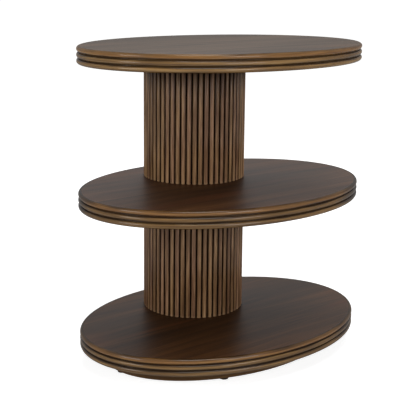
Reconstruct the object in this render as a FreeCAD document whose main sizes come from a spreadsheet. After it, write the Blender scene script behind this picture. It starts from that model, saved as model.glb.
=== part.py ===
import FreeCAD, Part
import math
import os
import re
import Sketcher
from FreeCAD import Vector

# Tiered side table: three oval tiers with a beaded rim, carried one above the other by two round
# drums clad in upright reeds, on a recessed oval plinth with screw-in levelling glides.
# Origin on the floor at the centre of the ovals, +Z up, X along the tiers' length.  The drums stand
# towards +Y, which leaves the wide part of each shelf open towards -Y.  Lengths in millimetres.

SIZES = {
    # oval tiers: a panel core, a veneer on both faces and a beaded lipping round the edge
    "tier_length": 635.0,
    "tier_depth": 468.0,
    "tier_thickness": 34.0,
    "veneer_thickness": 0.8,
    "lipping_width": 16.0,
    "bead_count": 3,
    "bead_depth": 4.6,
    "bead_gap": 0.8,
    "bead_shoulder": 1.5,
    # drums: a bent shell closed by two discs, wrapped in cloth-backed reeds
    "drum_height": 250.0,
    "drum_radius": 106.3,
    "drum_offset": 93.0,
    "reed_count": 56,
    "reed_depth": 7.0,
    "reed_crown": 3.0,
    "reed_spacing": 1.95,
    "cloth_thickness": 0.8,
    "shell_wall": 9.0,
    "disc_thickness": 18.0,
    "disc_clearance": 0.15,
    # plinth: a recessed oval ring, veneered outside and screwed up into the base tier
    "plinth_height": 28.0,
    "plinth_inset": 51.0,
    "plinth_width": 24.0,
    "screw_radius": 2.5,
    "screw_head_radius": 4.75,
    "screw_head_height": 3.2,
    "screw_head_depth": 9.0,
    "screw_bite": 20.0,
    # tie rods that draw base, lower drum, middle, upper drum and top together
    "rod_count": 3,
    "rod_radius": 4.0,
    "rod_circle": 55.0,
    "rod_clearance": 0.5,
    "rod_show": 2.0,
    "rod_end_gap": 1.0,
    "nut_flats": 13.0,
    "nut_height": 6.5,
    "washer_radius": 11.0,
    "washer_thickness": 2.0,
    "nut_recess_depth": 12.0,
    "recess_clearance": 2.0,
    "insert_radius": 6.25,
    "insert_length": 18.0,
    "blind_gap": 1.0,
    "thread_clearance": 0.05,
    # dowels that index each drum to the tier above and below it
    "dowel_count": 2,
    "dowel_radius": 5.0,
    "dowel_length": 24.0,
    "dowel_circle": 30.0,
    "dowel_clearance": 0.05,
    # levelling glides: a moulded foot on a threaded stem, screwed into an insert in the plinth
    "foot_radius": 9.0,
    "foot_height": 5.0,
    "foot_round": 1.2,
    "foot_angle": 62.0,
    "stem_radius": 4.0,
    "stem_length": 24.0,
    "stem_socket": 3.0,
    "glide_insert_radius": 5.5,
    "glide_insert_length": 14.0,
}

document = FreeCAD.newDocument("TieredSideTable")
sheet = document.addObject("Spreadsheet::Sheet", "Sizes")
for row, (alias, value) in enumerate(SIZES.items(), start=1):
    sheet.set(f"A{row}", alias)
    sheet.set(f"B{row}", str(value))
    sheet.setAlias(f"B{row}", alias)
document.recompute()

ALIAS = re.compile(r"\b(" + "|".join(SIZES) + r")\b")
parts = []


# ---- formulas: heights of the stack, radii of the drum's layers, half-axes of the ovals ----
BASE = "(foot_height + plinth_height)"
LOWER = f"({BASE} + tier_thickness)"
MIDDLE = f"({LOWER} + drum_height)"
UPPER = f"({MIDDLE} + tier_thickness)"
TOP = f"({UPPER} + drum_height)"

REED_BACK = "(drum_radius - reed_depth)"
SHELL_OUTSIDE = f"({REED_BACK} - cloth_thickness)"
SHELL_INSIDE = f"({SHELL_OUTSIDE} - shell_wall)"

CORE_THICKNESS = "(tier_thickness - 2 * veneer_thickness)"
FACE_INSET = "(bead_depth + bead_shoulder)"
BEAD_HEIGHT = "((tier_thickness - (bead_count - 1) * bead_gap) / bead_count)"
BEAD_RADIUS = f"(({BEAD_HEIGHT} ^ 2 / 4 + bead_depth ^ 2) / (2 * bead_depth))"
PLINTH_MIDDLE = "(plinth_inset + plinth_width / 2)"

ROD_HOLE = "(rod_radius + rod_clearance)"
RECESS_RADIUS = "(washer_radius + recess_clearance)"
INSERT_HOLE = "(insert_radius + thread_clearance)"
DOWEL_HOLE = "(dowel_radius + dowel_clearance)"
DOWEL_DEPTH = "(dowel_length / 2)"


# ---- small helpers for bodies, sketches and bores ----
def bind(feature, prop, formula):
    """Drive a property by a formula written in the names of the sheet."""
    feature.setExpression(prop, ALIAS.sub(r"Sizes.\1", formula))


def new_body(label, height="0", x="0", y="0"):
    """An empty body whose own origin stands at x, y and the given height."""
    body = document.addObject("PartDesign::Body", label)
    body.Label = label
    body.AllowCompound = True
    bind(body, "Placement.Base.x", x)
    bind(body, "Placement.Base.y", y)
    bind(body, "Placement.Base.z", height)
    parts.append(body)
    return body


def clone(source, label, height, y="0"):
    """A second piece made to the same drawing, at another height."""
    body = new_body(label, height, y=y)
    copy = body.newObject("PartDesign::FeatureBase", f"{label}_copy")
    copy.BaseFeature = source
    body.Tip = copy
    return body


def origin_feature(body, role):
    return next(item for item in body.Origin.OriginFeatures if item.Role == role)


def new_sketch(body, name, role="XY_Plane", height="0"):
    sketch = body.newObject("Sketcher::SketchObject", f"{body.Label}_{name}")
    sketch.AttachmentSupport = [(origin_feature(body, role), "")]
    sketch.MapMode = "FlatFace"
    bind(sketch, "AttachmentOffset.Base.z", height)
    return sketch


def dimension(sketch, constraint, formula):
    """Add a measured constraint and drive its value by a formula."""
    number = sketch.addConstraint(constraint)
    bind(sketch, f"Constraints[{number}]", formula)


def draw_oval(sketch, inset):
    """An ellipse lying inside the tiers' outline by the given inset on both axes."""
    long_half = SIZES["tier_length"] / 2
    short_half = SIZES["tier_depth"] / 2
    oval = sketch.addGeometry(
        Part.Ellipse(Vector(long_half, 0, 0), Vector(0, short_half, 0), Vector(0, 0, 0)))
    sketch.exposeInternalGeometry(oval)
    long_axis = oval + 1
    short_axis = oval + 2
    sketch.addConstraint(Sketcher.Constraint("Coincident", oval, 3, -1, 1))
    sketch.addConstraint(Sketcher.Constraint("Horizontal", long_axis))
    dimension(sketch, Sketcher.Constraint("Distance", long_axis, 2 * long_half),
              f"tier_length - 2 * {inset}")
    dimension(sketch, Sketcher.Constraint("Distance", short_axis, 2 * short_half),
              f"tier_depth - 2 * {inset}")


def draw_circle(sketch, radius, x="0", y="0"):
    circle = sketch.addGeometry(Part.Circle(Vector(0, 0, 0), Vector(0, 0, 1), 1.0))
    dimension(sketch, Sketcher.Constraint("DistanceX", -1, 1, circle, 3, 0.0), x)
    dimension(sketch, Sketcher.Constraint("DistanceY", -1, 1, circle, 3, 0.0), y)
    dimension(sketch, Sketcher.Constraint("Radius", circle, 1.0), radius)


def pad(body, sketch, length):
    feature = body.newObject("PartDesign::Pad", f"{sketch.Label}_pad")
    feature.Profile = sketch
    bind(feature, "Length", length)
    return feature


def pocket(body, sketch, depth, upwards=True):
    """Cut the sketch's outline out of the body for the given depth."""
    feature = body.newObject("PartDesign::Pocket", f"{sketch.Label}_pocket")
    feature.Profile = sketch
    feature.Reversed = upwards
    bind(feature, "Length", depth)
    return feature


def circles_at(body, name, radius, points, foot):
    sketch = new_sketch(body, name, height=foot)
    for x, y in points:
        draw_circle(sketch, radius, x, y)
    return sketch


def pins(body, name, radius, height, points, foot="0"):
    """Upright round pins that stand at a list of points."""
    pad(body, circles_at(body, name, radius, points, foot), height)


def bores(body, name, radius, depth, points, foot="0"):
    """Round holes cut upwards from a given height at a list of points."""
    pocket(body, circles_at(body, name, radius, points, foot), depth)


def around_drum(circle, count, first_angle, centre="drum_offset"):
    """Points evenly spaced on a circle about the drums' axis."""
    step = 360 / count
    angles = [first_angle + step * number for number in range(count)]
    return [(f"{circle} * cos({angle})", f"{centre} + {circle} * sin({angle})") for angle in angles]


def on_plinth(angles):
    """Points on the oval that runs down the middle of the plinth ring."""
    along = f"(tier_length / 2 - {PLINTH_MIDDLE})"
    across = f"(tier_depth / 2 - {PLINTH_MIDDLE})"
    return [(f"{along} * cos({angle})", f"{across} * sin({angle})") for angle in angles]


def ease_lower_edge(body, radius):
    """Round the edge round the foot of a body, which lies at the height of its own origin."""
    solid = body.Tip
    edges = [f"Edge{number}" for number, edge in enumerate(solid.Shape.Edges, start=1)
             if abs(edge.BoundBox.ZMax) < 1e-4]
    rounding = body.newObject("PartDesign::Fillet", f"{body.Label}_rounding")
    rounding.Base = (solid, edges)
    bind(rounding, "Radius", radius)


rod_points = around_drum("rod_circle", int(sheet.rod_count), -90)
lower_dowel_points = around_drum("dowel_circle", int(sheet.dowel_count), 0)
upper_dowel_points = around_drum("dowel_circle", int(sheet.dowel_count), 90)
glide_points = on_plinth(["0", "foot_angle", "(180 - foot_angle)",
                          "180", "(180 + foot_angle)", "(-foot_angle)"])
screw_points = on_plinth(["(foot_angle / 2)", "90", "(180 - foot_angle / 2)",
                          "(180 + foot_angle / 2)", "270", "(-foot_angle / 2)"])


# ---- the tiers ----
# Beaded lipping: a solid wood band bent round the panel, moulded with a stack of half-round beads
# and rebated top and bottom for the veneers.
def edge_lipping(label, height):
    body = new_body(label, height)
    rim = new_sketch(body, "rim")
    draw_oval(rim, "0")
    section = new_sketch(body, "section", "XZ_Plane")
    count = int(sheet.bead_count)
    rise = (sheet.tier_thickness - (count - 1) * sheet.bead_gap) / count
    crest = sheet.tier_length / 2
    valley = crest - sheet.bead_depth
    back = crest - sheet.lipping_width - sheet.bead_shoulder
    radius = (rise ** 2 / 4 + sheet.bead_depth ** 2) / (2 * sheet.bead_depth)
    outline = []
    for number in range(count):
        foot = number * (rise + sheet.bead_gap)
        bead = section.addGeometry(Part.Arc(Vector(valley, foot, 0),
                                            Vector(crest, foot + rise / 2, 0),
                                            Vector(valley, foot + rise, 0)))
        section.addConstraint(Sketcher.Constraint("Vertical", bead, 1, bead, 2))
        dimension(section, Sketcher.Constraint("DistanceY", bead, 1, bead, 2, rise), BEAD_HEIGHT)
        dimension(section, Sketcher.Constraint("Radius", bead, radius), BEAD_RADIUS)
        outline.append(bead)
        if number < count - 1:
            gap = section.addGeometry(Part.LineSegment(
                Vector(valley, foot + rise, 0),
                Vector(valley, foot + rise + sheet.bead_gap, 0)))
            section.addConstraint(Sketcher.Constraint("Vertical", gap))
            dimension(section, Sketcher.Constraint("DistanceY", gap, 1, gap, 2, sheet.bead_gap),
                      "bead_gap")
            outline.append(gap)
    top = sheet.tier_thickness
    corners = [Vector(valley, top, 0), Vector(back, top, 0), Vector(back, 0, 0),
               Vector(valley, 0, 0)]
    for start, end in zip(corners, corners[1:]):
        outline.append(section.addGeometry(Part.LineSegment(start, end)))
    upper_line, back_line, lower_line = outline[-3:]
    for first, second in zip(outline, outline[1:] + outline[:1]):
        section.addConstraint(Sketcher.Constraint("Coincident", first, 2, second, 1))
    section.addConstraint(Sketcher.Constraint("Horizontal", upper_line))
    section.addConstraint(Sketcher.Constraint("Vertical", back_line))
    section.addConstraint(Sketcher.Constraint("PointOnObject", lower_line, 1, -1))
    section.addConstraint(Sketcher.Constraint("PointOnObject", lower_line, 2, -1))
    dimension(section, Sketcher.Constraint("DistanceX", -1, 1, lower_line, 2, valley),
              "tier_length / 2 - bead_depth")
    dimension(section, Sketcher.Constraint("DistanceX", -1, 1, lower_line, 1, back),
              "tier_length / 2 - lipping_width - bead_shoulder")
    band = body.newObject("PartDesign::AdditivePipe", f"{label}_band")
    band.Profile = section
    band.Spine = (rim, ["Edge1"])
    inner_wall = new_sketch(body, "inner_wall")
    draw_oval(inner_wall, "lipping_width")
    pocket(body, inner_wall, "tier_thickness")
    lower_rebate = new_sketch(body, "lower_rebate")
    draw_oval(lower_rebate, FACE_INSET)
    pocket(body, lower_rebate, "veneer_thickness")
    upper_rebate = new_sketch(body, "upper_rebate", height="tier_thickness")
    draw_oval(upper_rebate, FACE_INSET)
    pocket(body, upper_rebate, "veneer_thickness", upwards=False)
    return body


# Panel core: a plain oval board that fills the lipping between the two veneers.
def panel_core(label, height):
    body = new_body(label, f"{height} + veneer_thickness")
    outline = new_sketch(body, "outline")
    draw_oval(outline, "lipping_width")
    pad(body, outline, CORE_THICKNESS)
    return body


# Veneer: a thin oval sheet that covers the core and the lipping's land up to the bead's shoulder.
def veneer_sheet(label, height):
    body = new_body(label, height)
    outline = new_sketch(body, "outline")
    draw_oval(outline, FACE_INSET)
    pad(body, outline, "veneer_thickness")
    return body


def bore_through(body, name, radius, points):
    bores(body, name, radius, "tier_thickness", points)


UPPER_FACE = "(tier_thickness - veneer_thickness)"

base_lipping = edge_lipping("base_edge_lipping", BASE)
document.recompute()

# Base tier: recesses below for the tie rods' nuts, pilots for the plinth's screws, dowels above.
base_core = panel_core("base_panel_core", BASE)
bore_through(base_core, "rod", ROD_HOLE, rod_points)
bores(base_core, "nut_recess", RECESS_RADIUS,
           "nut_recess_depth - veneer_thickness", rod_points)
bores(base_core, "pilot", "screw_radius + thread_clearance",
           "screw_bite - veneer_thickness + blind_gap", screw_points)
bores(base_core, "dowel", DOWEL_HOLE, DOWEL_DEPTH, lower_dowel_points,
           f"{CORE_THICKNESS} - {DOWEL_DEPTH} + veneer_thickness")
base_face = veneer_sheet("base_face_veneer", f"{BASE} + {UPPER_FACE}")
bore_through(base_face, "rod", ROD_HOLE, rod_points)
bore_through(base_face, "dowel", DOWEL_HOLE, lower_dowel_points)
base_backing = veneer_sheet("base_backing_veneer", BASE)
bore_through(base_backing, "nut_recess", RECESS_RADIUS, rod_points)
bore_through(base_backing, "pilot", "screw_radius + thread_clearance", screw_points)

# Middle tier: bored through for the rods, with dowels below and, turned a quarter, above.
clone(base_lipping, "middle_edge_lipping", MIDDLE)
middle_core = panel_core("middle_panel_core", MIDDLE)
bore_through(middle_core, "rod", ROD_HOLE, rod_points)
bores(middle_core, "lower_dowel", DOWEL_HOLE,
           f"{DOWEL_DEPTH} - veneer_thickness", lower_dowel_points)
bores(middle_core, "upper_dowel", DOWEL_HOLE, DOWEL_DEPTH,
           upper_dowel_points, f"{CORE_THICKNESS} - {DOWEL_DEPTH} + veneer_thickness")
middle_face = veneer_sheet("middle_face_veneer", f"{MIDDLE} + {UPPER_FACE}")
bore_through(middle_face, "rod", ROD_HOLE, rod_points)
bore_through(middle_face, "dowel", DOWEL_HOLE, upper_dowel_points)
middle_backing = veneer_sheet("middle_backing_veneer", MIDDLE)
bore_through(middle_backing, "rod", ROD_HOLE, rod_points)
bore_through(middle_backing, "dowel", DOWEL_HOLE, lower_dowel_points)

# Top tier: blind holes below for the threaded inserts and the dowels, and an unbroken face.
clone(base_lipping, "top_edge_lipping", TOP)
top_core = panel_core("top_panel_core", TOP)
bores(top_core, "insert", INSERT_HOLE,
           "insert_length + blind_gap", rod_points)
bores(top_core, "dowel", DOWEL_HOLE,
           f"{DOWEL_DEPTH} - veneer_thickness", upper_dowel_points)
veneer_sheet("top_face_veneer", f"{TOP} + {UPPER_FACE}")
top_backing = veneer_sheet("top_backing_veneer", TOP)
bore_through(top_backing, "insert", INSERT_HOLE, rod_points)
bore_through(top_backing, "dowel", DOWEL_HOLE, upper_dowel_points)


# ---- the drums ----
def tube(label, height, length, outside, inside):
    body = new_body(label, height, y="drum_offset")
    section = new_sketch(body, "section")
    draw_circle(section, outside)
    draw_circle(section, inside)
    pad(body, section, length)
    return body


# Reed: an upright slat with a flat back and a crowned front, repeated round the drum as a group of
# separate solids.
def reeds(label, height):
    body = new_body(label, height, y="drum_offset")
    section = new_sketch(body, "section")
    crest = sheet.drum_radius
    back = crest - sheet.reed_depth
    cheek = crest - sheet.reed_crown
    half = back * math.tan(math.pi / sheet.reed_count) - sheet.reed_spacing / 2
    width = f"(2 * {REED_BACK} * tan(180 / reed_count) - reed_spacing)"
    radius = (half ** 2 + sheet.reed_crown ** 2) / (2 * sheet.reed_crown)
    corners = [Vector(cheek, half, 0), Vector(back, half, 0), Vector(back, -half, 0),
               Vector(cheek, -half, 0)]
    left, flat, right = [section.addGeometry(Part.LineSegment(start, end))
                         for start, end in zip(corners, corners[1:])]
    crown = section.addGeometry(Part.Arc(corners[3], Vector(crest, 0, 0), corners[0]))
    outline = [left, flat, right, crown]
    for first, second in zip(outline, outline[1:] + outline[:1]):
        section.addConstraint(Sketcher.Constraint("Coincident", first, 2, second, 1))
    section.addConstraint(Sketcher.Constraint("Horizontal", left))
    section.addConstraint(Sketcher.Constraint("Horizontal", right))
    section.addConstraint(Sketcher.Constraint("Symmetric", flat, 1, flat, 2, -1))
    section.addConstraint(Sketcher.Constraint("Vertical", crown, 1, crown, 2))
    dimension(section, Sketcher.Constraint("DistanceX", -1, 1, flat, 1, back), REED_BACK)
    dimension(section, Sketcher.Constraint("DistanceY", flat, 2, flat, 1, 2 * half), width)
    dimension(section, Sketcher.Constraint("DistanceX", left, 2, left, 1, cheek - back),
              "reed_depth - reed_crown")
    dimension(section, Sketcher.Constraint("Radius", crown, radius),
              f"({width} ^ 2 / 4 + reed_crown ^ 2) / (2 * reed_crown)")
    reed = pad(body, section, "drum_height")
    ring = body.newObject("PartDesign::PolarPattern", f"{label}_ring")
    ring.Originals = [reed]
    ring.Axis = (origin_feature(body, "Z_Axis"), [""])
    ring.Angle = 360
    bind(ring, "Occurrences", "reed_count")
    body.Tip = ring
    return body


# Disc: closes one end of the shell and takes the dowels; the tie rods run through it.
def end_disc(label, height, dowels_at, dowel_angle):
    body = new_body(label, height, y="drum_offset")
    outline = new_sketch(body, "outline")
    draw_circle(outline, f"{SHELL_INSIDE} - disc_clearance")
    pad(body, outline, "disc_thickness")
    bores(body, "rod", ROD_HOLE, "disc_thickness",
               around_drum("rod_circle", int(sheet.rod_count), -90, "0"))
    bores(body, "dowel", DOWEL_HOLE, DOWEL_DEPTH,
               around_drum("dowel_circle", int(sheet.dowel_count), dowel_angle, "0"), dowels_at)
    return body


DISC_UNDER_TIER = "drum_height - disc_thickness"
DOWELS_IN_HEAD = f"disc_thickness - {DOWEL_DEPTH}"

lower_shell = tube("lower_drum_shell", LOWER, "drum_height", SHELL_OUTSIDE, SHELL_INSIDE)
lower_cloth = tube("lower_drum_cloth", LOWER, "drum_height", REED_BACK, SHELL_OUTSIDE)
lower_reeds = reeds("lower_drum_reeds", LOWER)
end_disc("lower_drum_foot_disc", LOWER, "0", 0)
end_disc("lower_drum_head_disc", f"{LOWER} + {DISC_UNDER_TIER}", DOWELS_IN_HEAD, 0)
document.recompute()

clone(lower_shell, "upper_drum_shell", UPPER, "drum_offset")
clone(lower_cloth, "upper_drum_cloth", UPPER, "drum_offset")
clone(lower_reeds, "upper_drum_reeds", UPPER, "drum_offset")
end_disc("upper_drum_foot_disc", UPPER, "0", 90)
end_disc("upper_drum_head_disc", f"{UPPER} + {DISC_UNDER_TIER}", DOWELS_IN_HEAD, 90)


# ---- dowels, tie rods, nuts, washers and inserts ----
# The dowels in a tier's upper face reach up into a foot disc; those in its underside reach down
# into a head disc.  Half of each dowel is in the tier.
def dowels(label, tier_face, points):
    body = new_body(label, f"{tier_face} - {DOWEL_DEPTH}")
    pins(body, "dowel", "dowel_radius", "dowel_length", points)


dowels("base_dowels", LOWER, lower_dowel_points)
dowels("middle_lower_dowels", MIDDLE, lower_dowel_points)
dowels("middle_upper_dowels", UPPER, upper_dowel_points)
dowels("top_dowels", TOP, upper_dowel_points)

NUT_SEAT = f"({BASE} + nut_recess_depth)"
WASHER_FOOT = f"({NUT_SEAT} - washer_thickness)"
NUT_FOOT = f"({WASHER_FOOT} - nut_height)"
ROD_FOOT = f"({NUT_FOOT} - rod_show)"
INSERT_FOOT = f"({TOP} + veneer_thickness)"

tie_rods = new_body("tie_rods")
pins(tie_rods, "rod", "rod_radius",
           f"{INSERT_FOOT} + insert_length - rod_end_gap - {ROD_FOOT}", rod_points, ROD_FOOT)

tie_rod_inserts = new_body("tie_rod_inserts", INSERT_FOOT)
pins(tie_rod_inserts, "sleeve", "insert_radius", "insert_length", rod_points)
bores(tie_rod_inserts, "thread", "rod_radius + thread_clearance",
           "insert_length", rod_points)

tie_rod_washers = new_body("tie_rod_washers", WASHER_FOOT)
pins(tie_rod_washers, "disc", "washer_radius", "washer_thickness", rod_points)
bores(tie_rod_washers, "hole", ROD_HOLE, "washer_thickness", rod_points)

tie_rod_nuts = new_body("tie_rod_nuts", NUT_FOOT)
for number, (x, y) in enumerate(rod_points, start=1):
    hexagon = tie_rod_nuts.newObject("PartDesign::AdditivePrism", f"nut_{number}")
    hexagon.AttachmentSupport = [(origin_feature(tie_rod_nuts, "XY_Plane"), "")]
    hexagon.MapMode = "FlatFace"
    hexagon.Polygon = 6
    bind(hexagon, "Circumradius", "nut_flats / sqrt(3)")
    bind(hexagon, "Height", "nut_height")
    bind(hexagon, "AttachmentOffset.Base.x", x)
    bind(hexagon, "AttachmentOffset.Base.y", y)
bores(tie_rod_nuts, "thread", "rod_radius + thread_clearance",
           "nut_height", rod_points)


# ---- the plinth ----
# The ring is bored from below for the glides' inserts and stems and counterbored for its screws.
plinth = new_body("plinth_ring", "foot_height")
plinth_section = new_sketch(plinth, "section")
draw_oval(plinth_section, "(plinth_inset + veneer_thickness)")
draw_oval(plinth_section, "(plinth_inset + plinth_width)")
pad(plinth, plinth_section, "plinth_height")
bores(plinth, "insert", "glide_insert_radius + thread_clearance",
           "glide_insert_length", glide_points)
bores(plinth, "stem", "stem_radius + rod_clearance",
           "stem_length - stem_socket + blind_gap", glide_points)
bores(plinth, "counterbore", "screw_head_radius + rod_clearance",
           "screw_head_depth", screw_points)
bores(plinth, "screw", "screw_radius + rod_clearance",
           "plinth_height", screw_points)

plinth_veneer = new_body("plinth_veneer", "foot_height")
plinth_skin = new_sketch(plinth_veneer, "section")
draw_oval(plinth_skin, "plinth_inset")
draw_oval(plinth_skin, "(plinth_inset + veneer_thickness)")
pad(plinth_veneer, plinth_skin, "plinth_height")

plinth_screws = new_body("plinth_screws", "foot_height + screw_head_depth")
pins(plinth_screws, "head", "screw_head_radius", "screw_head_height",
           screw_points, "-screw_head_height")
pins(plinth_screws, "shank", "screw_radius",
           "plinth_height - screw_head_depth + screw_bite", screw_points)

glide_inserts = new_body("glide_inserts", "foot_height")
pins(glide_inserts, "sleeve", "glide_insert_radius", "glide_insert_length",
           glide_points)
bores(glide_inserts, "thread", "stem_radius + thread_clearance",
           "glide_insert_length", glide_points)


# ---- the levelling glides ----
# Each foot bears on the plinth's underside when it is screwed right in; the stem is a plain shank
# that stands for its thread and is set into the foot's socket.
HERE = [("0", "0")]
for number, (x, y) in enumerate(glide_points, start=1):
    foot = new_body(f"glide_{number}_foot", "0", x, y)
    pins(foot, "disc", "foot_radius", "foot_height", HERE)
    bores(foot, "socket", "stem_radius + thread_clearance", "stem_socket",
               HERE, "foot_height - stem_socket")
    document.recompute()
    ease_lower_edge(foot, "foot_round")
    stem = new_body(f"glide_{number}_stem", "foot_height - stem_socket", x, y)
    pins(stem, "shank", "stem_radius", "stem_length", HERE)

document.recompute()


# ---- check every feature, then write one file per sub-part ----
for item in document.Objects:
    if "Invalid" in item.State or "Error" in item.State:
        raise RuntimeError(f"{item.Label} failed: {item.State}")
os.makedirs("parts", exist_ok=True)
for body in parts:
    if body.Shape.isNull() or not body.Shape.isValid():
        raise RuntimeError(f"{body.Label} has no valid shape")
    body.Shape.exportStep(f"parts/{body.Label}.step")
    print(body.Label, len(body.Shape.Solids), round(body.Shape.Volume, 1))
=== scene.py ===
import math
import random

import bmesh
import bpy
from mathutils import Matrix, Vector


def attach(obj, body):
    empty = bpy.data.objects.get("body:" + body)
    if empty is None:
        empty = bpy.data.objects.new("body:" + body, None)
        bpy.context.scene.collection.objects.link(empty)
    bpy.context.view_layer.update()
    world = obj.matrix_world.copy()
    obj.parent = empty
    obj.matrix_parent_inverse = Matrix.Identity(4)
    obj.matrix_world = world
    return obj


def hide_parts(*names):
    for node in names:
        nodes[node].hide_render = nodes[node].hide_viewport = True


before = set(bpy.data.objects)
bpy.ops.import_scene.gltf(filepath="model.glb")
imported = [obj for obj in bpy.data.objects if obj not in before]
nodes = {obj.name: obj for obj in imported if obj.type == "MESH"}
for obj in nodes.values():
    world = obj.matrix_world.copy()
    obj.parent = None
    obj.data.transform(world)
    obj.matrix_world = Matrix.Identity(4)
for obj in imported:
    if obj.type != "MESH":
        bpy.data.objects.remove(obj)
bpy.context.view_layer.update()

# ---- camera ----
# A long lens stands in front of the table's left end, a little above the top tier, and looks
# slightly down across the three tiers.
camera_place = (-1.3875, -1.6025, 0.7935)
camera_yaw, camera_pitch, camera_roll = 0.69966, 0.20444, -0.01135
camera_data = bpy.data.cameras.new("camera")
camera_data.sensor_width = 36.0
camera_data.lens = 90.94
camera_data.shift_y = -0.0673
camera = bpy.data.objects.new("camera", camera_data)
camera_turn = (Matrix.Rotation(-camera_yaw, 4, "Z")
               @ Matrix.Rotation(math.pi / 2 - camera_pitch, 4, "X")
               @ Matrix.Rotation(-camera_roll, 4, "Z"))
camera.matrix_world = Matrix.Translation(camera_place) @ camera_turn
bpy.context.scene.collection.objects.link(camera)
bpy.context.scene.camera = camera


# ---- studio ----
# A white studio: an even dome, a pale floor that keeps a soft shadow, and four square softboxes:
# one overhead, one on either side of the camera and one high behind the table.
def srgb(red, green, blue):
    """A paint chip's 0-255 values as the linear colour that a shader takes."""
    def linear(value):
        value /= 255
        return value / 12.92 if value <= 0.04045 else ((value + 0.055) / 1.055) ** 2.4
    return (linear(red), linear(green), linear(blue), 1.0)


def add(tree, kind, sockets=None, **settings):
    """A shader node; each socket takes a number, a colour or another node's output."""
    made = tree.nodes.new(kind)
    for name, value in settings.items():
        setattr(made, name, value)
    for name, value in (sockets or {}).items():
        if isinstance(value, bpy.types.NodeSocket):
            tree.links.new(value, made.inputs[name])
        else:
            made.inputs[name].default_value = value
    return made


def seen_directly(tree):
    """1 where the eye, a gloss or a glass looks at the studio, 0 where it only gives light."""
    path = add(tree, "ShaderNodeLightPath").outputs
    gloss = add(tree, "ShaderNodeMath", {0: path["Is Camera Ray"], 1: path["Is Glossy Ray"]},
                operation="MAXIMUM").outputs[0]
    return add(tree, "ShaderNodeMath", {0: gloss, 1: path["Is Transmission Ray"]},
               operation="MAXIMUM").outputs[0]


WHITE = (1.0, 1.0, 1.0, 1.0)
DOME_LEVEL = 0.13
world = bpy.data.worlds.new("studio")
bpy.context.scene.world = world
world.use_nodes = True
dome_tree = world.node_tree
dome_tree.nodes.clear()
dome = add(dome_tree, "ShaderNodeBackground", {"Color": srgb(255, 253, 250),
           "Strength": DOME_LEVEL})
white = add(dome_tree, "ShaderNodeBackground", {"Color": WHITE, "Strength": 1.0})
chosen = add(dome_tree, "ShaderNodeMixShader", {0: seen_directly(dome_tree),
             1: dome.outputs[0], 2: white.outputs[0]})
add(dome_tree, "ShaderNodeOutputWorld", {"Surface": chosen.outputs[0]})

FLOOR_HALF = 30.0
floor_data = bmesh.new()
bmesh.ops.create_grid(floor_data, x_segments=8, y_segments=8, size=FLOOR_HALF)
floor_mesh = bpy.data.meshes.new("studio_floor")
floor_data.to_mesh(floor_mesh)
floor_data.free()
studio_floor = bpy.data.objects.new("studio_floor", floor_mesh)
bpy.context.scene.collection.objects.link(studio_floor)

# The table gets a grey bounce from the floor. Seen directly, the floor adds a glow to what the
# lamps light, a little more of it far away, where they light less; the shadow stays in the sum.
GLOW_NEAR, GLOW_FAR = 0.5, 4.0
GLOW_LOW, GLOW_HIGH = 0.84, 0.97
floor_paint = bpy.data.materials.new("floor_paint")
floor_paint.use_nodes = True
floor_tree = floor_paint.node_tree
floor_tree.nodes.clear()
floor_bounce = add(floor_tree, "ShaderNodeBsdfDiffuse", {"Color": (0.3, 0.3, 0.3, 1)})
floor_shade = add(floor_tree, "ShaderNodeBsdfDiffuse", {"Color": (0.7, 0.7, 0.7, 1)})
floor_reach = add(floor_tree, "ShaderNodeVectorMath", {
    0: add(floor_tree, "ShaderNodeTexCoord").outputs["Object"]}, operation="LENGTH")
floor_level = add(floor_tree, "ShaderNodeMapRange", {
    "Value": floor_reach.outputs["Value"], "From Min": GLOW_NEAR, "From Max": GLOW_FAR,
    "To Min": GLOW_LOW, "To Max": GLOW_HIGH})
floor_glow = add(floor_tree, "ShaderNodeEmission", {"Color": WHITE,
                 "Strength": floor_level.outputs[0]})
floor_seen = add(floor_tree, "ShaderNodeAddShader", {0: floor_shade.outputs[0],
                 1: floor_glow.outputs[0]})
floor_chosen = add(floor_tree, "ShaderNodeMixShader", {0: seen_directly(floor_tree),
                   1: floor_bounce.outputs[0], 2: floor_seen.outputs[0]})
add(floor_tree, "ShaderNodeOutputMaterial", {"Surface": floor_chosen.outputs[0]})
floor_mesh.materials.append(floor_paint)

LAMP_AIM = Vector((0.0, 0.0, 0.32))


def softbox(name, place, side, power):
    """A square soft light that faces the middle of the table."""
    lamp = bpy.data.lights.new(name, "AREA")
    lamp.shape = "SQUARE"
    lamp.size = side
    lamp.energy = power
    holder = bpy.data.objects.new(name, lamp)
    aim = LAMP_AIM - Vector(place)
    holder.matrix_world = (Matrix.Translation(place)
                           @ aim.to_track_quat("-Z", "Y").to_matrix().to_4x4())
    bpy.context.scene.collection.objects.link(holder)


softbox("softbox_overhead", place=(-0.3, -0.9, 2.7), side=1.2, power=26.0)
softbox("softbox_left", place=(-3.20, -0.17, 1.02), side=1.3, power=36.0)
softbox("softbox_right", place=(0.11, -3.20, 1.02), side=1.3, power=37.0)
softbox("softbox_back", place=(1.2, 1.6, 3.0), side=1.4, power=30.0)


# ---- tiers: faces and backings ----
# Each tier is a board veneered on both faces: straight-grained walnut laid in leaves along the
# oval's length, stained dark and given a satin lacquer; a plainer sheet backs it underneath.
def finish(name):
    """A new material and its empty node tree."""
    material = bpy.data.materials.new(name)
    material.use_nodes = True
    material.node_tree.nodes.clear()
    return material, material.node_tree


def object_place(tree):
    """Where a point lies in its own mesh, in metres."""
    return add(tree, "ShaderNodeTexCoord").outputs["Object"]


def split(tree, vector):
    """The X, Y and Z of a vector."""
    return add(tree, "ShaderNodeSeparateXYZ", {"Vector": vector}).outputs


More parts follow.
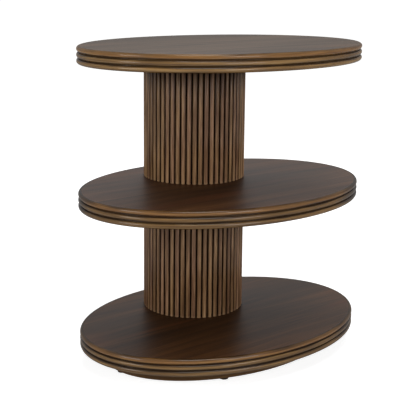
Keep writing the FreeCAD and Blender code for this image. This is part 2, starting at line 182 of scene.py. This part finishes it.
def number(tree, operation, first, second=0.0, third=0.0):
    """One sum on numbers."""
    return add(tree, "ShaderNodeMath", {0: first, 1: second, 2: third},
               operation=operation).outputs[0]


def weighed(tree, first, share, second, lift=0.0):
    """A share of the first number with the rest of the second, and a lift on top."""
    rest = number(tree, "MULTIPLY_ADD", second, 1.0 - share, lift)
    return number(tree, "MULTIPLY_ADD", first, share, rest)


def grain(tree, place, scale, detail=2.0, roughness=0.5, shift=(0.0, 0.0, 0.0)):
    """Smooth noise from 0 to 1, stretched so that scale counts its spots in a metre."""
    stretched = add(tree, "ShaderNodeMapping", {"Vector": place, "Scale": scale,
                    "Location": shift}).outputs[0]
    return add(tree, "ShaderNodeTexNoise", {"Vector": stretched, "Scale": 1.0, "Detail": detail,
               "Roughness": roughness}).outputs["Fac"]


def between(tree, value, low, high, low_out=0.0, high_out=1.0):
    """value carried from low..high to low_out..high_out and held there."""
    return add(tree, "ShaderNodeMapRange", {"Value": value, "From Min": low, "From Max": high,
               "To Min": low_out, "To Max": high_out}, interpolation_type="SMOOTHSTEP").outputs[0]


def ramp(tree, value, stops):
    """Colours spread over 0 to 1."""
    made = add(tree, "ShaderNodeValToRGB", {"Fac": value})
    bar = made.color_ramp.elements
    while len(bar) < len(stops):
        bar.new(0.5)
    for element, (place, colour) in zip(bar, stops):
        element.position = place
        element.color = colour
    return made.outputs["Color"]


def blend_colour(tree, share, first, second, kind="MIX"):
    """The first colour with a share of the second laid over it."""
    made = tree.nodes.new("ShaderNodeMix")
    made.data_type = "RGBA"
    made.blend_type = kind
    for socket, value in ((made.inputs[0], share), (made.inputs[6], first),
                          (made.inputs[7], second)):
        if isinstance(value, bpy.types.NodeSocket):
            tree.links.new(value, socket)
        else:
            socket.default_value = value
    return made.outputs[2]


def lacquered(tree, colour, height, depth, roughness, coat, coat_roughness, coat_ior=1.5):
    """Close a material: satin lacquer over wood whose pores stay slightly open."""
    dents = add(tree, "ShaderNodeBump", {"Height": height, "Strength": 0.6, "Distance": depth})
    wood = add(tree, "ShaderNodeBsdfPrincipled",
               {"Base Color": colour, "Roughness": roughness, "Specular IOR Level": 0.0,
                "Coat Weight": coat, "Coat Roughness": coat_roughness, "Coat IOR": coat_ior,
                "Normal": dents.outputs[0], "Coat Normal": dents.outputs[0]})
    add(tree, "ShaderNodeOutputMaterial", {"Surface": wood.outputs[0]})


def veneer(name, stain, leaf_width, seed, coat):
    """Walnut veneer laid in leaves whose fibres run along X."""
    sway_reach = 0.05
    pore_depth = 0.00006
    dark, middle, light, red = stain
    material, tree = finish(name)
    place = object_place(tree)
    leaf = number(tree, "FLOOR", number(tree, "DIVIDE", split(tree, place)["Y"], leaf_width))
    leaf_shift = add(tree, "ShaderNodeCombineXYZ",
                     {"X": number(tree, "MULTIPLY", leaf, 0.731),
                      "Z": number(tree, "MULTIPLY_ADD", leaf, 0.417, seed)}).outputs[0]
    laid = add(tree, "ShaderNodeVectorMath", {0: place, 1: leaf_shift}).outputs[0]
    sway = number(tree, "SUBTRACT", grain(tree, laid, (2.6, 5.0, 5.0), detail=1.0), 0.5)
    bend = add(tree, "ShaderNodeCombineXYZ", {"Y": number(tree, "MULTIPLY", sway, sway_reach)})
    fibre = add(tree, "ShaderNodeVectorMath", {0: laid, 1: bend.outputs[0]}).outputs[0]
    figure = grain(tree, fibre, (1.7, 34.0, 20.0), detail=3.0, roughness=0.55)
    streaks = grain(tree, fibre, (7.0, 260.0, 60.0), detail=3.0, roughness=0.6)
    pores = grain(tree, fibre, (110.0, 2600.0, 60.0), detail=1.0)
    warmth = grain(tree, fibre, (2.2, 12.0, 9.0), shift=(3.1, 5.7, 0.0))
    tone = weighed(tree, streaks, 0.38, figure)
    colour = ramp(tree, tone, [(0.35, dark), (0.50, middle), (0.65, light)])
    colour = blend_colour(tree, between(tree, warmth, 0.55, 0.75, 0.0, 0.55), colour, red)
    leaf_tone = add(tree, "ShaderNodeTexWhiteNoise", {"W": number(tree, "ADD", leaf, seed)},
                    noise_dimensions="1D").outputs["Value"]
    grey = between(tree, leaf_tone, 0.0, 1.0, 0.86, 1.12)
    grey_colour = add(tree, "ShaderNodeCombineXYZ", {"X": grey, "Y": grey, "Z": grey}).outputs[0]
    colour = blend_colour(tree, 1.0, colour, grey_colour, "MULTIPLY")
    open_pores = between(tree, pores, 0.62, 0.70)
    colour = blend_colour(tree, number(tree, "MULTIPLY", open_pores, 0.45), colour, dark)
    height = number(tree, "SUBTRACT", number(tree, "MULTIPLY", streaks, 0.5), open_pores)
    rough = between(tree, streaks, 0.3, 0.7, 0.62, 0.5)
    lacquered(tree, colour, height, pore_depth, rough, coat, coat_roughness=0.40)
    return material


def wear(node, material):
    """Give a CAD node one material."""
    slots = nodes[node].data.materials
    slots.clear()
    slots.append(material)


TIERS = ("base", "middle", "top")
TIER_DEPTH = 0.468
FACE_LEAF = TIER_DEPTH / 4
BACKING_LEAF = TIER_DEPTH / 3
for tier, seed, coat, stain in (
        ("base", 2.3, 0.385,
         (srgb(41, 23, 12), srgb(64, 40, 21), srgb(89, 57, 32), srgb(99, 55, 30))),
        ("middle", 3.3, 0.415,
         (srgb(46, 26, 15), srgb(72, 45, 26), srgb(97, 65, 40), srgb(104, 59, 35))),
        ("top", 4.3, 0.36,
         (srgb(40, 27, 18), srgb(60, 45, 31), srgb(80, 62, 46), srgb(84, 60, 42)))):
    wear(f"{tier}_face_veneer",
         veneer(f"{tier}_face_walnut", stain, FACE_LEAF, seed, coat))
backing_stain = (srgb(44, 31, 22), srgb(58, 42, 31), srgb(74, 55, 41), srgb(80, 52, 38))
backing_finish = veneer("backing_walnut", backing_stain, BACKING_LEAF, seed=9.7, coat=0.10)
for tier in TIERS:
    wear(f"{tier}_backing_veneer", backing_finish)


# ---- tiers: panel cores ----
# The board between the two veneers is moisture-resistant fibreboard: a dense, even, yellowish
# brown felt of fine fibres that shows only in the bores for the rods, nuts and screws.
board_finish, board_tree = finish("fibreboard")
board_place = object_place(board_tree)
board_clumps = grain(board_tree, board_place, (420.0, 420.0, 900.0), detail=4.0, roughness=0.7)
board_fibres = grain(board_tree, board_place, (2400.0, 700.0, 3000.0))
board_tone = weighed(board_tree, board_clumps, 0.6, board_fibres)
board_colour = ramp(board_tree, board_tone, [(0.32, srgb(112, 84, 56)),
                    (0.5, srgb(142, 112, 78)), (0.68, srgb(172, 140, 100))])
lacquered(board_tree, board_colour, board_tone, depth=0.0002, roughness=0.85, coat=0.0,
          coat_roughness=0.5)
for tier in TIERS:
    wear(f"{tier}_panel_core", board_finish)


# ---- tiers: beaded edge ----
# A solid walnut band is bent round each panel with its ends scarfed together at the back, then
# moulded with three half-round beads; dark glaze is left in the quirks and rubbed off the crests.
# Painted shade darkens the top bead's upper shoulder and the band's left-back and right-front
# sides.
TIER_LENGTH = 0.635
TIER_THICKNESS = 0.034
DRUM_HEIGHT = 0.250
PLINTH_TOP = 0.033
HALF_LENGTH, HALF_DEPTH = TIER_LENGTH / 2, TIER_DEPTH / 2
BEADS = 3
BEAD_DEPTH = 0.0046
BEAD_GAP = 0.0008
BEAD_STEPS = 14
EDGE_STEPS = 256
BEAD_RISE = (TIER_THICKNESS - (BEADS - 1) * BEAD_GAP) / BEADS
BEAD_RADIUS = (BEAD_RISE ** 2 / 4 + BEAD_DEPTH ** 2) / (2 * BEAD_DEPTH)
BAND_LAND = HALF_LENGTH - 0.0060
BAND_BACK = HALF_LENGTH - 0.0158
VENEER_REBATE = 0.0008
EDGE_RUN = 0.278  # metres of edge to a radian, as an average round the oval
HAIR = 1e-6  # metres that count as no distance


def oval_run(mesh, half_length, half_depth):
    """Carry a ring that was spun about Z onto the oval, at the same distance from its edge."""
    for vert in mesh.verts:
        turn = math.atan2(vert.co.y, vert.co.x)
        out = math.hypot(vert.co.x, vert.co.y) - half_length
        normal = Vector((half_depth * math.cos(turn), half_length * math.sin(turn))).normalized()
        vert.co.x = half_length * math.cos(turn) + out * normal.x
        vert.co.y = half_depth * math.sin(turn) + out * normal.y


def made_piece(name, mesh, material, body, slot_name, *stands_for):
    """Put a finished mesh in the scene on its body, in place of CAD nodes."""
    data = bpy.data.meshes.new(name)
    mesh.to_mesh(data)
    mesh.free()
    data.materials.append(material)
    piece = bpy.data.objects.new(name, data)
    bpy.context.scene.collection.objects.link(piece)
    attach(piece, body)
    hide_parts(*stands_for)


def chain(mesh, points):
    """A run of edges through a few points."""
    verts = [mesh.verts.new(point) for point in points]
    for start, end in zip(verts, verts[1:]):
        mesh.edges.new((start, end))
    return verts


def mark_edge(mesh, foot):
    """Lay a map on the ring: metres round it from the back, and metres above its underside."""
    along = mesh.loops.layers.uv.new("edge")
    for face in mesh.faces:
        middle = face.calc_center_median()
        face_turn = (math.atan2(middle.y, middle.x) - math.pi / 2) % math.tau
        for loop in face.loops:
            spot = loop.vert.co
            turn = (math.atan2(spot.y, spot.x) - math.pi / 2) % math.tau
            turn += math.tau * round((face_turn - turn) / math.tau)
            loop[along].uv = (turn * EDGE_RUN, spot.z - foot)


def mark_quirks(mesh, foot):
    """Mark how near a quirk each vertex is; the band's two outer edges hold less glaze."""
    top_edge, foot_edge = 0.72, 0.55
    depth = mesh.verts.layers.float.new("quirk")
    for vert in mesh.verts:
        bead = min(BEADS - 1, max(0, int((vert.co.z - foot) / (BEAD_RISE + BEAD_GAP))))
        above = vert.co.z - foot - bead * (BEAD_RISE + BEAD_GAP) - BEAD_RISE / 2
        share = 1.0
        if bead == BEADS - 1 and above > 0:
            share = top_edge
        elif bead == 0 and above < 0:
            share = foot_edge
        vert[depth] = share * min(1.0, abs(above) / (BEAD_RISE / 2))


def beaded_band(foot):
    """The moulded band of one tier, whose underside is at the height foot."""
    mesh = bmesh.new()
    half_turn = math.asin(BEAD_RISE / 2 / BEAD_RADIUS)
    ends = []
    for bead in range(BEADS):
        low = foot + bead * (BEAD_RISE + BEAD_GAP)
        first = mesh.verts.new((HALF_LENGTH - BEAD_DEPTH, 0.0, low))
        before = set(mesh.verts)
        bmesh.ops.spin(mesh, geom=[first], axis=(0, -1, 0), angle=2 * half_turn, steps=BEAD_STEPS,
                       cent=(HALF_LENGTH - BEAD_RADIUS, 0.0, low + BEAD_RISE / 2))
        last = max(set(mesh.verts) - before, key=lambda vert: vert.co.z)
        ends += [first, last]
    for start, end in zip(ends[1::2], ends[2::2]):
        mesh.edges.new((start, end))
    top = foot + TIER_THICKNESS
    inside = chain(mesh, [(BAND_LAND, 0, top), (BAND_LAND, 0, top - VENEER_REBATE),
                          (BAND_BACK, 0, top - VENEER_REBATE),
                          (BAND_BACK, 0, foot + VENEER_REBATE),
                          (BAND_LAND, 0, foot + VENEER_REBATE), (BAND_LAND, 0, foot)])
    mesh.edges.new((ends[-1], inside[0]))
    mesh.edges.new((inside[-1], ends[0]))
    bmesh.ops.spin(mesh, geom=mesh.verts[:] + mesh.edges[:], cent=(0, 0, 0), axis=(0, 0, 1),
                   angle=math.tau, steps=EDGE_STEPS, use_merge=True)
    bmesh.ops.remove_doubles(mesh, verts=mesh.verts[:], dist=HAIR)
    bmesh.ops.recalc_face_normals(mesh, faces=mesh.faces[:])
    for face in mesh.faces:
        face.smooth = True
    mark_edge(mesh, foot)
    mark_quirks(mesh, foot)
    oval_run(mesh, HALF_LENGTH, HALF_DEPTH)
    return mesh


def edge_walnut(name, seed, level, glaze_left, side_shade):
    """Band of solid walnut whose fibres follow the edge, with glaze left in the quirks, and
    painted shade on the top bead's shoulder and towards two opposite sides.
    """
    glaze_colour = srgb(36, 24, 15)
    shoulder_shade_colour = srgb(46, 33, 19)
    warm_from, warm_full = 0.020, 0.026
    shoulder_from, shoulder_full = TIER_THICKNESS - 0.0038, TIER_THICKNESS - 0.0010
    shade_turn = 0.61
    material, tree = finish(name)
    place = add(tree, "ShaderNodeUVMap", uv_map="edge").outputs[0]
    run, height = split(tree, place)["X"], split(tree, place)["Y"]
    figure = grain(tree, place, (5.0, 270.0, 1.0), detail=3.0, roughness=0.6, shift=(seed, 0, 0))
    streaks = grain(tree, place, (14.0, 900.0, 1.0), detail=3.0, roughness=0.6,
                    shift=(seed, 4.0, 0))
    patches = grain(tree, place, (11.0, 62.0, 1.0), shift=(seed, 9.0, 0))
    tone = weighed(tree, streaks, 0.35, figure, level)
    warm = ramp(tree, tone, [(0.32, srgb(90, 56, 24)), (0.50, srgb(141, 98, 49)),
                             (0.66, srgb(185, 139, 80))])
    olive = ramp(tree, tone, [(0.32, srgb(75, 51, 26)), (0.50, srgb(122, 90, 49)),
                              (0.66, srgb(168, 132, 80))])
    colour = blend_colour(tree, between(tree, height, warm_from, warm_full), olive, warm)
    quirk = add(tree, "ShaderNodeAttribute", attribute_name="quirk").outputs["Fac"]
    glaze_rub_and_foot_highlight = number(tree, "MULTIPLY_ADD", number(tree, "SUBTRACT", patches, 0.5), 1.2, quirk)
    glaze = between(tree, glaze_rub_and_foot_highlight, 0.30, 0.86, 0.0, glaze_left)
    colour = blend_colour(tree, glaze, colour, glaze_colour)
    # painted shade: the top bead's upper shoulder darkens towards the face
    uneven_height = number(tree, "MULTIPLY_ADD", patches, 0.004, height)
    shoulder_shade = between(tree, uneven_height, shoulder_from, shoulder_full, 0.0, 0.42)
    colour = blend_colour(tree, shoulder_shade, colour, shoulder_shade_colour)
    # painted shade: the band darkens towards its left-back and right-front sides
    turn = number(tree, "ADD", number(tree, "DIVIDE", run, EDGE_RUN), shade_turn)
    towards_end = number(tree, "ABSOLUTE", number(tree, "SINE", turn))
    shaded_sides = between(tree, towards_end, 0.78, 0.99, 0.0, side_shade)
    colour = blend_colour(tree, shaded_sides, colour, glaze_colour)
    lacquered(tree, colour, streaks, depth=0.00002, roughness=0.5, coat=0.22,
              coat_roughness=0.18, coat_ior=1.9)
    return material


tier_foot = {tier: PLINTH_TOP + step * (TIER_THICKNESS + DRUM_HEIGHT)
             for step, tier in enumerate(TIERS)}
for tier, seed, level, glaze_left, side_shade in (("base", 0.0, -0.016, 0.88, 0.55),
                                                 ("middle", 3.7, -0.022, 0.80, 0.90),
                                                 ("top", 7.4, 0.018, 0.76, 0.15)):
    made_piece(f"{tier}_beaded_edge", beaded_band(tier_foot[tier]),
               edge_walnut(f"{tier}_edge_walnut", seed, level, glaze_left, side_shade),
               "table", "edge_lipping", f"{tier}_edge_lipping")


# ---- drums: shell, discs and cloth ----
# Each drum is a tube of bent plywood closed by two birch discs; the reeds are glued to a dark
# cloth that is wrapped round it, and the cloth shows as a black line between them.
def plain_wood(name, dark, light, stretch, roughness):
    """Raw wood or board that is only seen inside."""
    material, tree = finish(name)
    place = object_place(tree)
    figure = grain(tree, place, stretch, detail=4.0, roughness=0.6)
    lines = grain(tree, place, tuple(7 * scale for scale in stretch))
    tone = weighed(tree, lines, 0.4, figure)
    colour = ramp(tree, tone, [(0.3, dark), (0.7, light)])
    lacquered(tree, colour, tone, 0.0001, roughness, coat=0.0, coat_roughness=0.4)
    return material


ply_finish = plain_wood("bent_ply", srgb(150, 120, 86), srgb(188, 156, 116),
                        stretch=(60, 60, 8), roughness=0.7)
disc_finish = plain_wood("birch_disc", srgb(160, 130, 94), srgb(198, 168, 128),
                         stretch=(8, 70, 300), roughness=0.7)
cloth_finish, cloth_tree = finish("reed_cloth")
cloth_weave = grain(cloth_tree, object_place(cloth_tree), (1300.0, 1300.0, 1700.0))
cloth_colour = ramp(cloth_tree, cloth_weave, [(0.35, srgb(18, 12, 9)), (0.65, srgb(36, 26, 19))])
lacquered(cloth_tree, cloth_colour, cloth_weave, depth=0.0003, roughness=0.9, coat=0.0,
          coat_roughness=0.5)
for drum in ("lower", "upper"):
    wear(f"{drum}_drum_shell", ply_finish)
    wear(f"{drum}_drum_foot_disc", disc_finish)
    wear(f"{drum}_drum_head_disc", disc_finish)
    wear(f"{drum}_drum_cloth", cloth_finish)


# ---- drums: reeds ----
# Fifty-six walnut slats with crowned fronts stand round each drum; every one is cut from its own
# strip of wood, so their stain varies from olive to reddish brown. Painted shade darkens their
# heads, and painted light and a pale painted highlight brighten their feet.
REEDS = 56
DRUM_RADIUS = 0.1063
DRUM_OFFSET = 0.093
REED_DEPTH = 0.007
REED_CROWN = 0.003
REED_SPACING = 0.00195
REED_END_GAP = 0.0001
REED_END_ROUND = 0.0005
CROWN_STEPS = 10
REED_BACK = DRUM_RADIUS - REED_DEPTH
REED_CHEEK = DRUM_RADIUS - REED_CROWN
REED_HALF = REED_BACK * math.tan(math.pi / REEDS) - REED_SPACING / 2


def ring_of_reeds(foot, seed):
    """All the reeds of one drum, standing on the height foot."""
    mesh = bmesh.new()
    crown_radius = (REED_HALF ** 2 + REED_CROWN ** 2) / (2 * REED_CROWN)
    crown_turn = 2 * math.asin(REED_HALF / crown_radius)
    low, high = foot + REED_END_GAP, foot + DRUM_HEIGHT - REED_END_GAP
    side = mesh.verts.new((REED_CHEEK, -REED_HALF, low))
    before = set(mesh.verts)
    bmesh.ops.spin(mesh, geom=[side], axis=(0, 0, 1), angle=crown_turn, steps=CROWN_STEPS,
                   cent=(DRUM_RADIUS - crown_radius, 0.0, low))
    far = max(set(mesh.verts) - before, key=lambda vert: vert.co.y)
    back = chain(mesh, [(REED_BACK, REED_HALF, low), (REED_BACK, -REED_HALF, low)])
    mesh.edges.new((far, back[0]))
    mesh.edges.new((back[1], side))
    bmesh.ops.contextual_create(mesh, geom=mesh.edges[:])
    raised = bmesh.ops.extrude_face_region(mesh, geom=mesh.faces[:])["geom"]
    bmesh.ops.translate(mesh, vec=(0, 0, high - low),
                        verts=[item for item in raised if isinstance(item, bmesh.types.BMVert)])
    bmesh.ops.recalc_face_normals(mesh, faces=mesh.faces[:])
    ends = [edge for edge in mesh.edges
            if abs(edge.verts[0].co.z - edge.verts[1].co.z) < HAIR
            and min(edge.verts[0].co.x, edge.verts[1].co.x) > REED_CHEEK - 10 * HAIR]
    bmesh.ops.bevel(mesh, geom=ends, offset=REED_END_ROUND, segments=2, profile=0.5,
                    affect="EDGES", material=-1)
    for face in mesh.faces:  # only the crown is shaded smooth
        face.smooth = abs(face.normal.z) < 0.5 and face.normal.x > 0.05
    bmesh.ops.spin(mesh, geom=mesh.verts[:] + mesh.edges[:] + mesh.faces[:], axis=(0, 0, 1),
                   cent=(0, 0, 0), angle=math.tau * (REEDS - 1) / REEDS, steps=REEDS - 1,
                   use_duplicate=True)
    draw = random.Random(seed)
    tones = [draw.random() for _ in range(REEDS)]
    hues = [draw.random() for _ in range(REEDS)]
    tone = mesh.verts.layers.float.new("reed_tone")
    hue = mesh.verts.layers.float.new("reed_hue")
    for vert in mesh.verts:
        reed = round(math.atan2(vert.co.y, vert.co.x) / math.tau * REEDS) % REEDS
        vert[tone] = tones[reed]
        vert[hue] = hues[reed]
    bmesh.ops.translate(mesh, vec=(0, DRUM_OFFSET, 0), verts=mesh.verts[:])
    return mesh


def reed_walnut(name, foot, seed, level, lift):
    """Slats glazed at their sides, with painted shade under the tier above, painted light towards
    their feet and a painted highlight on their tips.
    """
    glaze_colour = srgb(36, 23, 15)
    head_shade_colour = srgb(44, 31, 22)
    foot_highlight_colour = srgb(168, 138, 106)
    head_shade_reach, foot_light_reach, foot_highlight_reach = 0.075, 0.15, 0.0055
    glaze_from = DRUM_RADIUS - 0.0004
    material, tree = finish(name)
    place = object_place(tree)
    tone = add(tree, "ShaderNodeAttribute", attribute_name="reed_tone").outputs["Fac"]
    hue = add(tree, "ShaderNodeAttribute", attribute_name="reed_hue").outputs["Fac"]
    strip = add(tree, "ShaderNodeCombineXYZ", {"Z": number(tree, "MULTIPLY_ADD", tone, 9.0, seed)})
    own = add(tree, "ShaderNodeVectorMath", {0: place, 1: strip.outputs[0]}).outputs[0]
    figure = grain(tree, own, (170.0, 170.0, 7.0), detail=3.0, roughness=0.6)
    streaks = grain(tree, own, (1100.0, 1100.0, 26.0), detail=3.0, roughness=0.6)
    drift = grain(tree, own, (150.0, 150.0, 16.0), shift=(0.0, 0.0, 5.0))
    mixed = weighed(tree, streaks, 0.40, figure)
    height = number(tree, "SUBTRACT", split(tree, place)["Z"], foot)
    # painted light: the slats grow lighter over their lowest part towards their feet, by lift
    tone_and_foot_light = number(tree, "ADD", mixed, between(tree, height, foot_light_reach, 0.0, level, level + lift))
    shade = number(tree, "MULTIPLY_ADD", number(tree, "SUBTRACT", tone, 0.5), 0.05, tone_and_foot_light)
    olive = ramp(tree, shade, [(0.32, srgb(80, 56, 37)), (0.50, srgb(131, 99, 68)),
                               (0.66, srgb(187, 149, 108))])
    reddish = ramp(tree, shade, [(0.32, srgb(81, 55, 40)), (0.50, srgb(133, 99, 74)),
                                 (0.66, srgb(189, 148, 115))])
    redness = weighed(tree, hue, 0.3, drift)
    colour = blend_colour(tree, between(tree, redness, 0.36, 0.66), olive, reddish)
    centred = add(tree, "ShaderNodeMapping", {"Vector": place, "Scale": (1.0, 1.0, 0.0),
                  "Location": (0.0, -DRUM_OFFSET, 0.0)}).outputs[0]
    reach = add(tree, "ShaderNodeVectorMath", {0: centred}, operation="LENGTH").outputs["Value"]
    glaze = between(tree, reach, glaze_from, REED_CHEEK, 0.0, 0.92)
    colour = blend_colour(tree, glaze, colour, glaze_colour)
    # painted shade: the slats darken towards the tier above them
    head_shade = number(tree, "MULTIPLY",
                   between(tree, height, DRUM_HEIGHT - head_shade_reach, DRUM_HEIGHT, 0.0, 0.84),
                   between(tree, figure, 0.3, 0.7, 1.2, 0.8))
    colour = blend_colour(tree, head_shade, colour, head_shade_colour)
    # painted highlight: pale tips at the slats' feet, kept off the glazed sides
    glaze_rub_and_foot_highlight = number(tree, "MULTIPLY", between(tree, height, foot_highlight_reach, 0.001, 0.0, 0.6), drift)
    foot_highlight = number(tree, "MULTIPLY", glaze_rub_and_foot_highlight, number(tree, "SUBTRACT", 1.0, glaze))
    colour = blend_colour(tree, foot_highlight, colour, foot_highlight_colour)
    lacquered(tree, colour, mixed, depth=0.00006, roughness=0.5, coat=0.13,
              coat_roughness=0.22, coat_ior=1.9)
    return material


# the last number of each drum lifts the painted light at its feet
for drum, tier_below, seed, level, lift in (("lower", "base", 11, -0.006, 0.018),
                                            ("upper", "middle", 29, 0.008, 0.050)):
    drum_foot = tier_foot[tier_below] + TIER_THICKNESS
    made_piece(f"{drum}_reeds", ring_of_reeds(drum_foot, seed),
               reed_walnut(f"{drum}_reed_walnut", drum_foot, seed, level, lift),
               "table", "reeds", f"{drum}_drum_reeds")


# ---- joinery: dowels, tie rods, nuts, washers and inserts ----
# Fluted beech dowels index the drums; three zinc-plated rods, with nuts and washers under the
# base tier and turned brass inserts in the top tier, draw the whole stack together.
def metal(name, colour, dark, roughness, tool_marks):
    """Plated or turned metal with fine tool marks and a slightly uneven sheen."""
    material, tree = finish(name)
    place = object_place(tree)
    marks = grain(tree, place, tool_marks, detail=3.0, roughness=0.6)
    smears = grain(tree, place, (90.0, 90.0, 90.0))
    tint = blend_colour(tree, between(tree, smears, 0.35, 0.7), colour, dark)
    dents = add(tree, "ShaderNodeBump", {"Height": marks, "Strength": 0.4, "Distance": 0.00006})
    skin = add(tree, "ShaderNodeBsdfPrincipled",
               {"Base Color": tint, "Metallic": 1.0, "Normal": dents.outputs[0],
                "Roughness": between(tree, marks, 0.3, 0.7, roughness, roughness + 0.12)})
    add(tree, "ShaderNodeOutputMaterial", {"Surface": skin.outputs[0]})
    return material


beech_finish = plain_wood("beech", srgb(186, 150, 108), srgb(214, 182, 140),
                          stretch=(220, 220, 18), roughness=0.65)
zinc_finish = metal("zinc_plate", srgb(186, 190, 194), srgb(150, 154, 160),
                    roughness=0.28, tool_marks=(700, 700, 2600))
brass_finish = metal("insert_brass", srgb(196, 164, 96), srgb(160, 128, 70),
                     roughness=0.30, tool_marks=(600, 600, 3000))
for name in ("base_dowels", "middle_lower_dowels", "middle_upper_dowels", "top_dowels"):
    wear(name, beech_finish)
for name in ("tie_rods", "tie_rod_nuts", "tie_rod_washers"):
    wear(name, zinc_finish)
wear("tie_rod_inserts", brass_finish)


# ---- plinth ----
# A recessed oval ring of board, screwed up into the base tier with black screws, has dark walnut
# veneer wrapped round its outside, its grain running round, and brass inserts for the glides.
PLINTH_RUN = 0.21  # metres of skirt to a radian, for the grain only
ring_finish = plain_wood("plinth_board", srgb(96, 72, 48), srgb(128, 99, 68),
                         stretch=(20, 20, 160), roughness=0.7)
skirt_finish, skirt_tree = finish("plinth_walnut")
skirt_parts = split(skirt_tree, object_place(skirt_tree))
skirt_turn = number(skirt_tree, "ARCTAN2", skirt_parts["X"],
                    number(skirt_tree, "MULTIPLY", skirt_parts["Y"], -1.0))
skirt_place = add(skirt_tree, "ShaderNodeCombineXYZ", {
    "X": number(skirt_tree, "MULTIPLY", skirt_turn, PLINTH_RUN),
    "Y": skirt_parts["Z"]}).outputs[0]
skirt_figure = grain(skirt_tree, skirt_place, (5.0, 150.0, 1.0), detail=3.0, roughness=0.6)
skirt_streaks = grain(skirt_tree, skirt_place, (14.0, 800.0, 1.0), detail=3.0, roughness=0.6)
skirt_tone = weighed(skirt_tree, skirt_streaks, 0.35, skirt_figure)
skirt_colour = ramp(skirt_tree, skirt_tone, [(0.34, srgb(66, 45, 28)), (0.5, srgb(100, 74, 48)),
                                             (0.66, srgb(134, 103, 71))])
lacquered(skirt_tree, skirt_colour, skirt_streaks, depth=0.00005, roughness=0.5, coat=0.15,
          coat_roughness=0.40)
screw_finish = metal("black_oxide", srgb(52, 52, 55), srgb(34, 34, 36),
                     roughness=0.42, tool_marks=(900, 900, 2400))
wear("plinth_ring", ring_finish)
wear("plinth_veneer", skirt_finish)
wear("plinth_screws", screw_finish)
wear("glide_inserts", brass_finish)


# ---- levelling glides ----
# Six screw-in glides carry the table: a black nylon foot moulded on a zinc-plated stem, whose
# thread runs in the plinth's inserts.
GLIDES = 6
nylon_finish, nylon_tree = finish("black_nylon")
nylon_place = object_place(nylon_tree)
nylon_skin = grain(nylon_tree, nylon_place, (1500.0, 1500.0, 1500.0))
nylon_scuff = grain(nylon_tree, nylon_place, (160.0, 160.0, 240.0), detail=3.0)
nylon_dents = add(nylon_tree, "ShaderNodeBump", {"Height": nylon_skin, "Strength": 0.4,
                  "Distance": 0.0001})
nylon_colour = ramp(nylon_tree, nylon_scuff, [(0.4, srgb(8, 8, 9)), (0.75, srgb(26, 26, 27))])
nylon = add(nylon_tree, "ShaderNodeBsdfPrincipled",
            {"Base Color": nylon_colour, "Specular IOR Level": 0.15,
             "Normal": nylon_dents.outputs[0],
             "Roughness": between(nylon_tree, nylon_scuff, 0.3, 0.8, 0.4, 0.6)})
add(nylon_tree, "ShaderNodeOutputMaterial", {"Surface": nylon.outputs[0]})
for glide in range(1, GLIDES + 1):
    wear(f"glide_{glide}_foot", nylon_finish)
    wear(f"glide_{glide}_stem", zinc_finish)


# ---- colour view ----
# Colours are shown as they are written.
scene = bpy.context.scene
scene.view_settings.view_transform = "Standard"
